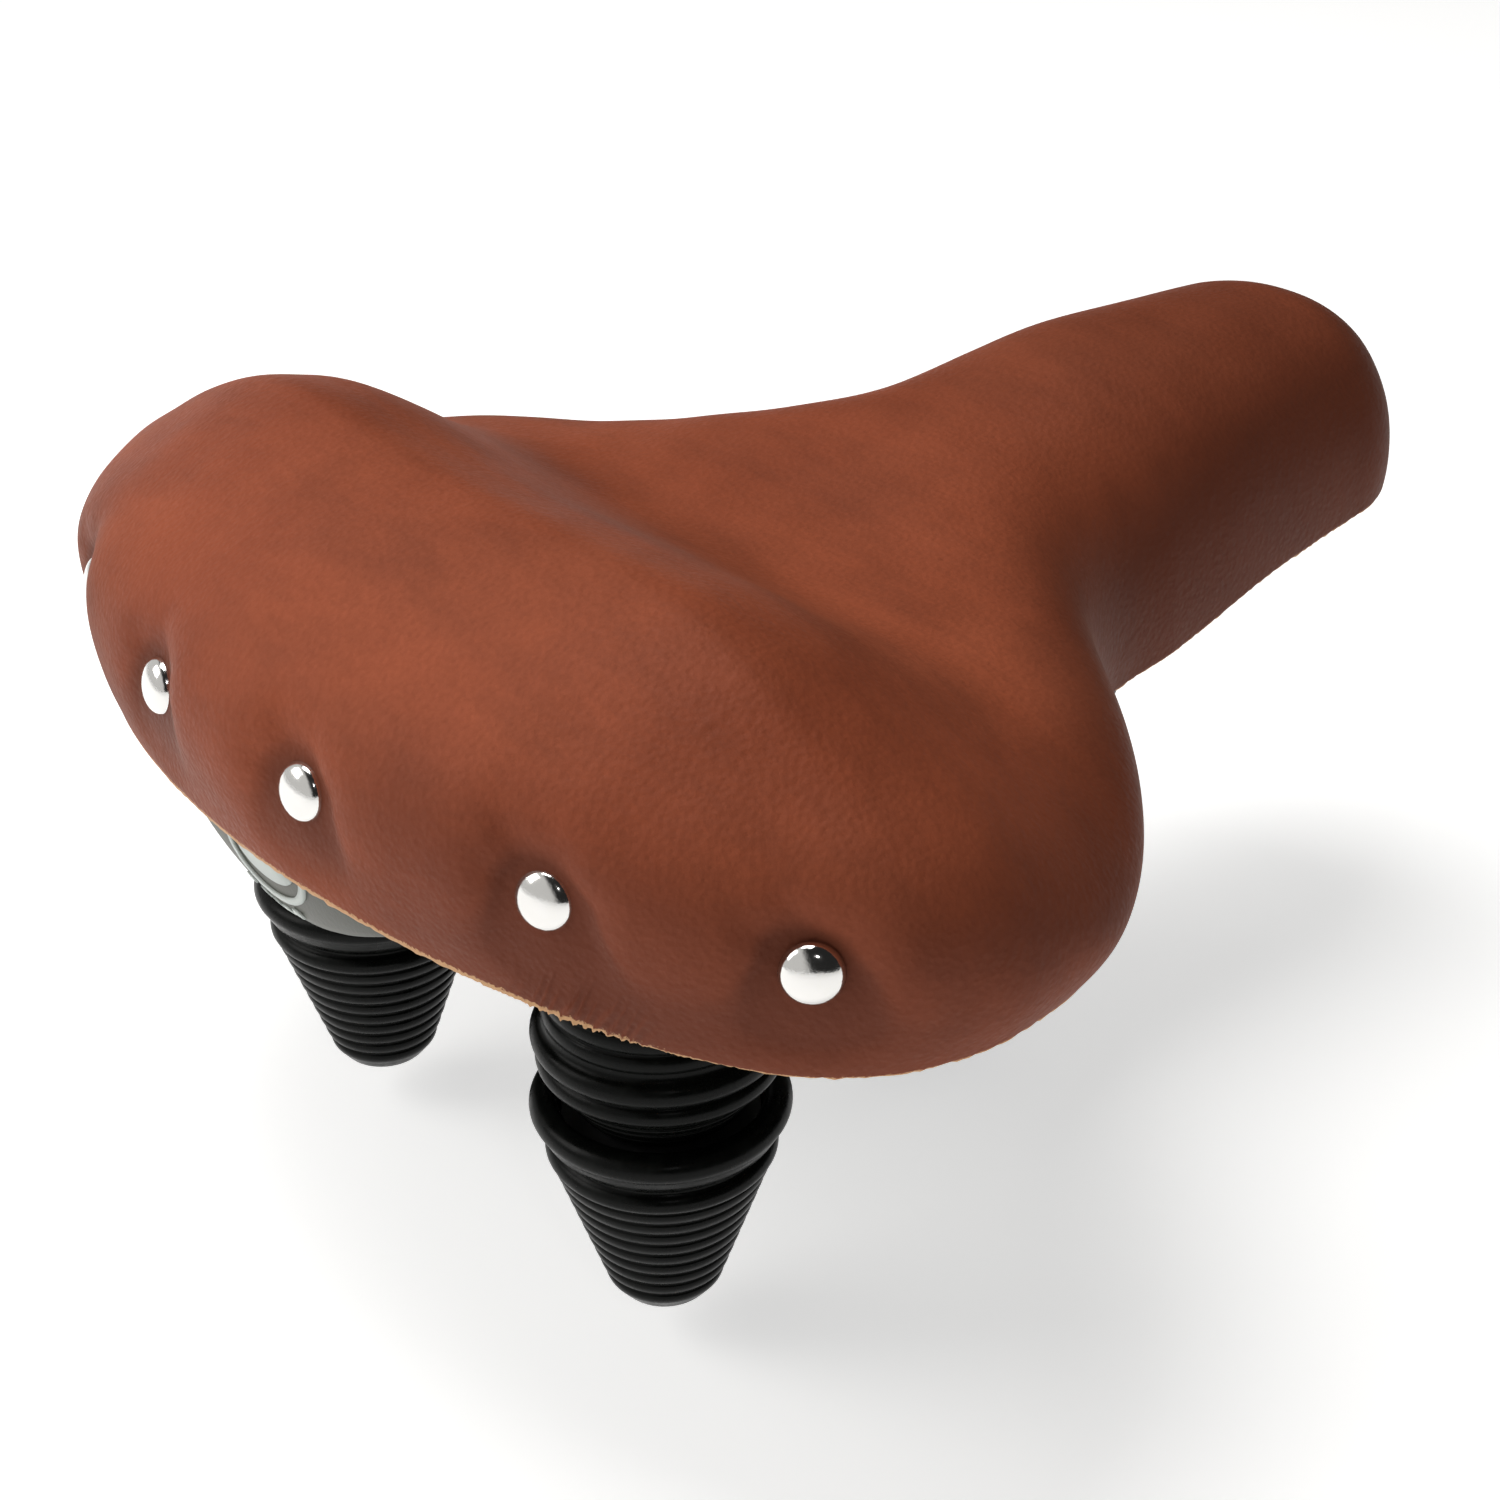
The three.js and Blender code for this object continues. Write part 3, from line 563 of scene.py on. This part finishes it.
def gathers(along, climb):
    """Fine pleats at the rim above each spring."""
    aside = np.abs(along) - GATHER_ALONG
    phase = (aside - 0.35 * climb + 0.35 * np.sin(aside * 0.9)) / 2.0
    ridge = 1 - np.abs(np.sin(np.pi * phase)) ** 0.8
    each = 0.75 + 0.25 * np.sin(np.floor(phase) * 2.3)
    reach = 12.5 * each
    middle = np.clip(1.6 - np.abs(aside) / GATHER_SPREAD, 0, 1)
    fade = ease(1 - climb / reach) * bell(aside, GATHER_SPREAD) * middle
    return ridge * fade * each


SKIRT_TURN = 0.6  # rows of points are closer together from here to the rim


def cover():
    """The hide: outer surface with its relief, a frayed cut edge, and an inner surface."""
    loop = around(520, focus=3.0)
    turns = np.concatenate([np.linspace(0, SKIRT_TURN, 44)[:-1], np.linspace(SKIRT_TURN, 1, 76)])
    outer = padded_rows(loop, turns)
    along, climb = skirt_places(outer, loop)
    spots = rivet_spots(outer, along, climb)
    skirt = skirt_shape(along, climb, spots)
    pleat = gathers(along, climb)
    soft = 0.45 * lumps(outer, 70, 3) + 0.12 * lumps(outer, 22, 5)
    edge_fade = 1 - bell(climb, 6) * 0.7
    normal = grid_normals(outer)
    outer = outer + normal * ((skirt + soft * edge_fade + pleat)[..., None])
    rim_inset = np.stack([loop["nx"], loop["ny"] * loop["side"], 0 * loop["nx"]], -1)
    chance = np.random.default_rng(11)
    fray = chance.normal(0, 0.09, outer.shape[1])
    rim = outer[-1]
    lip = [
        rim - rim_inset * 0.25 + np.stack([0 * fray, 0 * fray, -0.45 + fray], -1),
        rim - rim_inset * (COVER_WALL - 0.35) + np.stack([0 * fray, 0 * fray, -0.5 - fray], -1),
    ]
    inner = padded_rows(loop, np.linspace(1, 0, 24), COVER_WALL)
    rows = np.concatenate([outer, np.array(lip), inner])
    count = rows.shape[1]
    raw = np.zeros(rows.shape[:2])
    cut = np.clip(1 - climb / 1.3, 0, 1)
    raw[: len(outer)] = cut * (0.25 + 0.75 * (1 - ease((np.abs(along) - 70) / 30)))
    raw[len(outer) : len(outer) + 2] = 1
    # Painted shade in the pits, between the pleats and on the lower skirt, and a darker tone at the nose,
    # kept as a point attribute.
    painted_shade_and_tone = np.zeros(rows.shape[:2])
    painted_shade_and_tone[: len(outer)] = painted_shade_and_tone_of(outer, climb, along, skirt, pleat)
    marks = {"raw": raw.reshape(-1), "painted_shade_and_tone": painted_shade_and_tone.reshape(-1)}
    points, faces, marks = weld(rows.reshape(-1, 3), strip_faces(len(rows), count), marks)
    piece = mesh_piece("cover", points, faces, "seat")
    for name, values in marks.items():
        paint(piece, name, values)
    dress(piece, "leather")
    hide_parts("leather_cover")
    return piece


DARKEST = 0.85


def painted_shade_and_tone_of(points, climb, along, skirt, pleat):
    """How far the hide is darkened: towards the nose, partly in tone and partly painted shade, and painted
    shade on the lower skirt, in the pits of the rivets and between the pleats.
    """
    nose = 0.46 * ease((points[..., 0] - 115) / 100)
    low = 0.62 * ease((48 - climb) / 34) * (0.45 + 0.55 * ease(np.abs(along) / 70))
    pits = 0.6 * np.clip((1.2 - skirt) / 1.7, 0, 1) * bell(climb - 18, 12)
    pits *= ease((160 - np.abs(along)) / 40)
    between = 0.6 * np.clip(0.25 - pleat, 0, 0.25) * 4
    between = between * bell(np.abs(along) - GATHER_ALONG, 12) * bell(climb, 10)
    return np.clip(nose + low + pits + between * 0.6, 0, DARKEST)


# ---- Rivets ----
RIVET_R = 4.7
RIVET_RISE = 2.6
SHANK_R = 1.5
SHANK_END = -7.4


def rivet_profile():
    """Dome, rolled edge and shank as (radius, z), with z 0 at the foot of the dome."""
    angles = np.linspace(0.09, np.pi / 2, 14)
    dome = [(RIVET_R * math.cos(a), RIVET_RISE * math.sin(a) ** 0.9) for a in angles]
    profile = [(0, RIVET_RISE)] + dome[::-1][1:]
    profile += [(RIVET_R + 0.05, 0.12), (RIVET_R - 0.1, -0.25), (RIVET_R - 0.6, -0.35)]
    return profile + [(SHANK_R, -0.35), (SHANK_R, SHANK_END), (0, SHANK_END)]


def rivets():
    """Domed heads with a rolled edge, on the axes of the CAD rivets and level with their tops."""
    middle = node_centre("base_shell")
    points, faces = lathe(rivet_profile(), 48)
    for name in RIVETS:
        vertices = np.array([to_saddle(v.co) for v in frame["nodes"][name].data.vertices])
        centre = vertices.mean(axis=0)
        axis = rivet_axis(vertices, centre, middle)
        reach = (vertices - centre) @ axis
        seat = centre + axis * (reach.max() - RIVET_RISE)
        turn = Vector((0, 0, 1)).rotation_difference(Vector(axis)).to_matrix()
        placed = points @ np.array(turn).T + seat
        piece = dress(mesh_piece(name + "_head", placed, faces, "seat"), "chrome")
        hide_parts(name)


def rivet_axis(vertices, centre, middle):
    """The principal axis that the rivet is slimmest around, pointing away from middle."""
    best = None
    for candidate in np.linalg.svd(vertices - centre)[2]:
        along = (vertices - centre) @ candidate
        aside = np.linalg.norm(vertices - centre - along[:, None] * candidate, axis=1)
        if best is None or aside.max() < best[0]:
            best = (aside.max(), candidate)
    axis = best[1]
    return axis if axis @ (centre - middle) > 0 else -axis


# ---- Shell ----
def base_shell():
    """The moulding: one wall in a dome with an apron at the rear, and a ribbed boss over each spring."""
    loop = around(260)
    dome = np.linspace(0, 1, 26) ** 0.8
    edge = np.linspace(0, 1, 7)[1:]
    rounding = 0.5
    outside = np.concatenate([shell_rows(loop, dome), apron_rows(loop, edge)])
    inner_wall = apron_rows(loop, edge[:-1], SHELL_WALL)
    inside = np.concatenate([shell_rows(loop, dome, SHELL_WALL), inner_wall])
    lip = (apron_rows(loop, [1]) + apron_rows(loop, [1], SHELL_WALL)) / 2 - np.array([0, 0, rounding])
    rows = np.concatenate([outside, lip, inside[::-1]])
    points, faces, _ = weld(rows.reshape(-1, 3), strip_faces(len(rows), rows.shape[1]), {})
    parts = [(points, faces)]
    for sign in SIDES.values():
        boss = [(0, 24), (15, 24), (15, -6.9), (14.4, -7.8), (13.6, -8)]
        boss += [(4.3, -8), (4.3, 3.5), (0, 3.5)]
        parts.append(moved(lathe(boss, 48), (BOLT_X, sign * SPRING_Y, 0)))
        for angle in range(0, 360, 60):
            parts.append(rib(sign, math.radians(angle + 30)))
    piece = joined("base_shell_moulding", parts, "seat")
    dress(piece, "shell_plastic")
    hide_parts("base_shell")
    return piece


def rib(sign, angle):
    """A thin web that stiffens a spring boss."""
    along = np.array([math.cos(angle), math.sin(angle), 0])
    across = np.array([-along[1], along[0], 0]) * 0.9
    centre = np.array([BOLT_X, sign * SPRING_Y, 0])
    outline = [(14.5, -5), (19, 6), (22.5, 17.5), (14.5, 19.5)]
    points = [centre + along * r + across * s + np.array([0, 0, z]) for s in (-1, 1) for r, z in outline]
    faces = [(0, 1, 2, 3), (7, 6, 5, 4)] + [(i, i + 4, (i + 1) % 4 + 4, (i + 1) % 4) for i in range(4)]
    return np.array(points), faces


def moved(part, offset):
    points, faces = part
    return points + np.array(offset), faces


def joined(name, parts, body):
    """One object from several closed parts."""
    points, faces, start = [], [], 0
    for part_points, part_faces in parts:
        points.append(part_points)
        faces += [tuple(index + start for index in face) for face in part_faces]
        start += len(part_points)
    return mesh_piece(name, np.concatenate(points), faces, body)


# ---- Badge: an unmarked oval ring and lens with a row of plain bars, laid on the apron ----
def apron_x(y, z):
    """X of the apron's outer face at y and z, near the middle."""
    loop = around(260)
    shares = np.linspace(0, 1, 40)
    rows = np.concatenate([shell_rows(loop, np.linspace(0.9, 1, 12)), apron_rows(loop, shares[1:])])
    near = rows[:, loop["x"] < 14].reshape(-1, 3)
    distance = np.hypot(near[:, 1] - y, near[:, 2] - z)
    nearest = np.argsort(distance)[:4]
    weight = 1 / (distance[nearest] + 0.05)
    return float((near[nearest, 0] * weight).sum() / weight.sum())


BADGE_Z = 1.0
BADGE_TOP, BADGE_FOOT = 0.35, -0.2  # measured out of the apron
BARS, BAR_PITCH, BAR_DROP = 5, 3.6, 9.3
BAR = [(-1.3, -0.55), (1.3, -0.55), (1.3, 0.55), (-1.3, 0.55)]


def plate(outline, inner):
    """A thin plate on the apron, from an inner path, or one point repeated, to its outline."""
    layers = ((inner, BADGE_FOOT), (inner, BADGE_TOP), (outline, BADGE_TOP), (outline, BADGE_FOOT))
    rings = [[(apron_x(y, z) - lift, y, z) for y, z in path] for path, lift in layers]
    faces = strip_faces(len(rings), len(outline), closed_rows=True)
    points, faces, _ = weld(np.array(rings, float).reshape(-1, 3), faces, {})
    return points, faces


def oval(half_width, half_height, count=56):
    turn = 2 * np.pi * np.arange(count) / count
    return [(half_width * math.cos(a), BADGE_Z + half_height * math.sin(a)) for a in turn]


def badge():
    lens = oval(8.6, 3.4)
    parts = [plate(oval(12.3, 7.2), oval(10.6, 6.0)), plate(lens, [(0.0, BADGE_Z)] * len(lens))]
    for i in range(BARS):
        middle = (i - BARS // 2) * BAR_PITCH
        height = BADGE_Z - BAR_DROP + 0.03 * middle**2
        path = [(middle + y, height + z) for y, z in BAR]
        parts.append(plate(path, [(middle, height)] * len(path)))
    piece = dress(joined("oval_badge", parts, "seat"), "badge")
    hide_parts("rear_badge")
    return piece


# ---- Boots and springs ----
COILS = {  # top, bottom, radius at the top, radius at the bottom, turns, wire radius
    "upper": (-12.2, -40.6, 13, 8.6, 4, 1.4),
    "lower": (-47.8, -70, 13.2, 6.6, 4, 1.4),
}


def ribbed(top, bottom, radius_top, radius_bottom, count, height, steps=9):
    """Rounded ribs down a cone, as (radius, z) points."""
    points = []
    pitch = (bottom - top) / count
    for i in range(count):
        for k in range(steps):
            share = (i + k / steps) / count
            swell = math.sqrt(max(0.0, 1 - (2 * (k / steps) - 1) ** 2))
            radius = radius_top + (radius_bottom - radius_top) * share
            points.append((radius - height + height * swell, top + pitch * (i + k / steps)))
    return points


def upper_boot_profile():
    outside = [(15.4, -10.2)] + arc(1.6, 90, -60, 6, (17.0, -11.8))
    outside += ribbed(-13.4, -24.0, 18.6, 19.2, 3, 1.2)
    outside += arc(2.4, 75, -75, 10, (18.6, -27.2))
    outside += arc(2.0, 70, -75, 8, (18.3, -31.6))
    outside += ribbed(-33.6, -41.8, 18.7, 13.4, 4, 0.8)
    outside += [(12.4, -42.2)]
    inside = [(11.0, -42.2), (15.4, -35), (16.0, -12.5), (15.4, -11.2)]
    return outside + inside


def lower_boot_profile():
    outside = [(17.4, -40.2), (18.0, -39.2)] + arc(2.4, 100, -50, 12, (19.3, -41.5))
    outside += [(20.4, -44.4), (19.6, -45.8), (18.3, -46.6), (17.9, -47.2)]
    outside += arc(1.9, 75, -70, 8, (17.5, -49.6))
    outside += ribbed(-51.6, -78.0, 18.6, 9.6, 9, 0.9)
    outside += [(8.7, -78.6), (7.8, -79.7), (6.2, -80.3), (0, -80.4)]
    inside = [(0, -79.2), (7.6, -79.2), (8.0, -76), (15.6, -50), (16.6, -46.5), (16.9, -41)]
    return outside + inside


def boots():
    for side, sign in SIDES.items():
        for part, profile in (("upper", upper_boot_profile()), ("lower", lower_boot_profile())):
            solid = moved(lathe(profile, 96), (BOLT_X, sign * SPRING_Y, 0))
            piece = mesh_piece(f"{part}_boot_{side}_ribbed", *solid)
            dress(piece, "boot_rubber")
            stretch(piece, side, part)
            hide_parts(f"{part}_boot_{side}")


def stretch(piece, side, part):
    """Bakes the piece's placement into its mesh."""
    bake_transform(piece)


def coil(top, bottom, radius_top, radius_bottom, turns, wire, sides=12, per_turn=40):
    """A helical spring of round wire as a closed tube."""
    steps = turns * per_turn
    share = np.linspace(0, 1, steps + 1)
    angle = 2 * np.pi * turns * share
    radius = radius_top + (radius_bottom - radius_top) * share
    centre = np.stack([radius * np.cos(angle), radius * np.sin(angle), top + (bottom - top) * share], -1)
    return tube(centre, wire, sides)


def tube(centre, radius, sides=16):
    """A closed round tube along a path of points, in saddle millimetres."""
    centre = np.asarray(centre, float)
    tangent = np.gradient(centre, axis=0)
    tangent /= np.linalg.norm(tangent, axis=1, keepdims=True)
    side = np.cross(tangent[0], (0, 0, 1) if abs(tangent[0, 2]) < 0.9 else (1, 0, 0))
    rings = []
    for point, direction in zip(centre, tangent):
        side = side - direction * (side @ direction)
        side /= np.linalg.norm(side)
        up = np.cross(direction, side)
        turn = 2 * np.pi * np.arange(sides) / sides
        rings.append(point + radius * (np.cos(turn)[:, None] * side + np.sin(turn)[:, None] * up))
    points = np.concatenate([*rings, centre[:1], centre[-1:]])
    faces = strip_faces(len(rings), sides)
    first, last = len(points) - 2, len(points) - 1
    tail = (len(rings) - 1) * sides
    for i in range(sides):
        n = (i + 1) % sides
        faces.append((i, n, first))
        faces.append((tail + n, tail + i, last))
    return points, faces


def springs():
    for side, sign in SIDES.items():
        for part, shape in COILS.items():
            solid = moved(coil(*shape), (BOLT_X, sign * SPRING_Y, 0))
            piece = mesh_piece(f"{part}_coil_{side}", *solid)
            dress(piece, "spring_steel")
            stretch(piece, side, part)
            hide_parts(f"{part}_spring_{side}")


# ---- CAD nodes that keep their shape ----
def dress_frame():
    slots = {row["node"]: row["material_slot"] for row in frame["record"]["subparts"]}
    for name, node in frame["nodes"].items():
        node.data.materials.clear()
        node.data.materials.append(MATERIALS[slots[name]])


# ---- Camera, floor and light ----
AZIMUTH = -39.27
ELEVATION = 29.24
ROLL = -0.23
DISTANCE = 0.51274
LENS_MM = 63.16
TARGET = (126.76, 22.09, -31.25)


def camera():
    a, e, r = map(math.radians, (AZIMUTH, ELEVATION, ROLL))
    back = Vector((math.sin(a) * math.cos(e), -math.cos(a) * math.cos(e), math.sin(e)))
    level = Vector((math.cos(a), math.sin(a), 0))
    upright = back.cross(level)
    right = level * math.cos(r) + upright * math.sin(r)
    up = upright * math.cos(r) - level * math.sin(r)
    place = Vector(to_frame(TARGET)) + back * DISTANCE
    data = bpy.data.cameras.new("photo_camera")
    data.sensor_width = 36
    data.lens = LENS_MM
    data.clip_start = 0.01
    view = bpy.data.objects.new("photo_camera", data)
    view.matrix_world = Matrix.Translation(place) @ Matrix((right, up, back)).transposed().to_4x4()
    bpy.context.scene.collection.objects.link(view)
    bpy.context.scene.camera = view


FLOOR_GAP = 0.0004
FLOOR_REACH = 6
FLOOR_GLOW = 0.58


def floor():
    """A pale floor that gives off some light itself, so that it stays near white."""
    lowest = CAD_BOUNDS[0][2] - FLOOR_GAP
    mesh = bpy.data.meshes.new("floor")
    signs = ((-1, -1), (1, -1), (1, 1), (-1, 1))
    corners = [(x * FLOOR_REACH, y * FLOOR_REACH, lowest) for x, y in signs]
    mesh.from_pydata(corners, [], [(0, 1, 2, 3)])
    piece = bpy.data.objects.new("floor", mesh)
    bpy.context.scene.collection.objects.link(piece)
    n = Nodes("pale_floor", Roughness=0.9, Base_Color=(0.93, 0.93, 0.925, 1))
    n.shader.inputs["Specular IOR Level"].default_value = 0.1
    n.shader.inputs["Emission Color"].default_value = (1, 1, 1, 1)
    n.shader.inputs["Emission Strength"].default_value = FLOOR_GLOW
    mesh.materials.append(n.material)


def softbox(name, place, aim, size, watts, colour=(1, 1, 1)):
    data = bpy.data.lights.new(name, "AREA")
    data.shape = "RECTANGLE"
    data.size, data.size_y = size
    data.energy = watts
    data.color = colour
    light = bpy.data.objects.new(name, data)
    light.location = place
    light.rotation_euler = (Vector(aim) - Vector(place)).to_track_quat("-Z", "Y").to_euler()
    bpy.context.scene.collection.objects.link(light)


WORLD_BRIGHT_SIDE = (-0.74, 0.60, -0.30)
WORLD_RAMP = (0.0, 0.3, 0.02, 0.65)  # from the dark side to the bright one, and the strength of each


def world_light():
    """Light from the camera's left, dark to its right and overhead."""
    world = bpy.data.worlds.new("studio")
    world.use_nodes = True
    tree = world.node_tree
    where = tree.nodes.new("ShaderNodeTexCoord")
    toward = tree.nodes.new("ShaderNodeVectorMath")
    toward.operation = "DOT_PRODUCT"
    toward.inputs[1].default_value = WORLD_BRIGHT_SIDE
    ramp = tree.nodes.new("ShaderNodeMapRange")
    ramp.interpolation_type = "SMOOTHSTEP"
    for socket, number in zip(RANGE_SOCKETS, WORLD_RAMP):
        ramp.inputs[socket].default_value = number
    tree.links.new(where.outputs["Generated"], toward.inputs[0])
    tree.links.new(toward.outputs["Value"], ramp.inputs["Value"])
    tree.links.new(ramp.outputs["Result"], tree.nodes["Background"].inputs["Strength"])
    tree.nodes["Background"].inputs["Color"].default_value = (1, 0.99, 0.97, 1)
    bpy.context.scene.world = world


def lighting():
    world_light()
    middle = (0, 0, 0.08)
    softbox("key", (-0.95, 0.65, 0.85), middle, (0.7, 0.7), 4.8, (1, 0.985, 0.96))
    softbox("overhead", (-0.10, 0.25, 1.25), middle, (0.6, 0.6), 7.2, (1, 0.99, 0.97))
    softbox("glint", (-0.55, -0.9, 0.9), middle, (0.08, 0.08), 0.4)
    bpy.context.scene.view_settings.view_transform = "Standard"


camera()
lighting()
floor()
dress_frame()
cover()
rivets()
base_shell()
badge()
boots()
springs()
